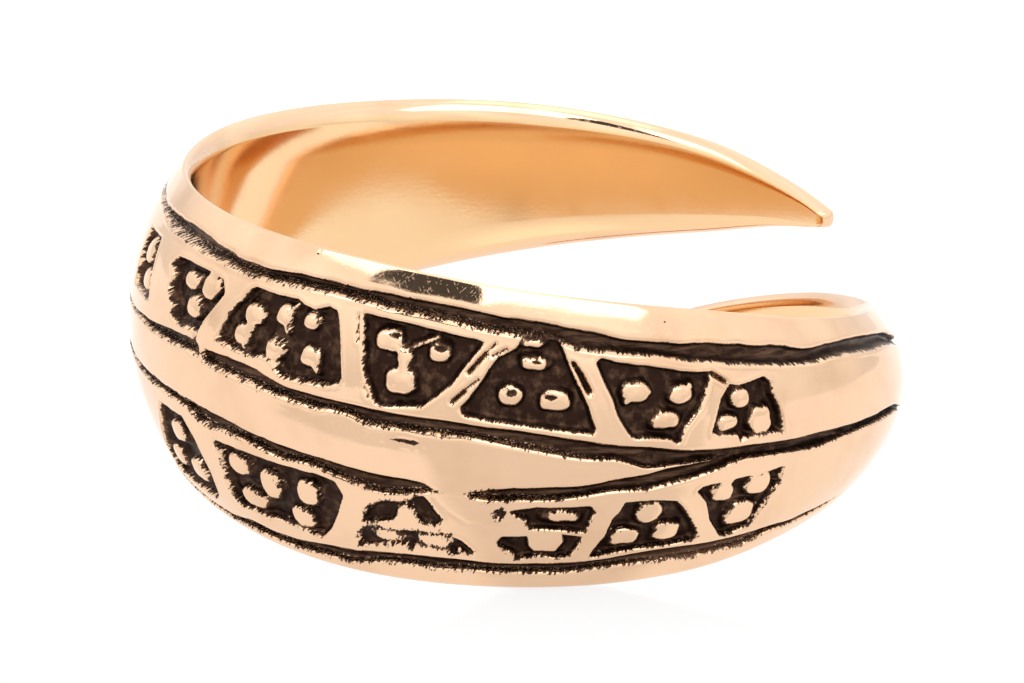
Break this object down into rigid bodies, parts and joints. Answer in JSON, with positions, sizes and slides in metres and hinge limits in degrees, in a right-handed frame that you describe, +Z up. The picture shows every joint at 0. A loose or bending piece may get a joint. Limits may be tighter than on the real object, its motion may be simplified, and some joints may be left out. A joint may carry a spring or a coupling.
{
  "type": "adjustable open ring",
  "caption": "Adjustable open finger ring, a domed cast band with grooves and pelleted cells that tapers into arms passing each other at the back.",
  "frame": {"origin": "on the finger hole's axis, in the plane of the surface that the ring stands on", "axes": "+Z up along the finger hole's axis; -Y to the middle of the wide front; +X to the side of the arm that passes below"},
  "size_m": [0.0209, 0.0207, 0.0085],
  "materials": {
    "bronze": "polished, with a near-black patina in the recesses"
  },
  "bodies": {
    "root": {"ring_band": "bronze"}
  },
  "joints": []
}
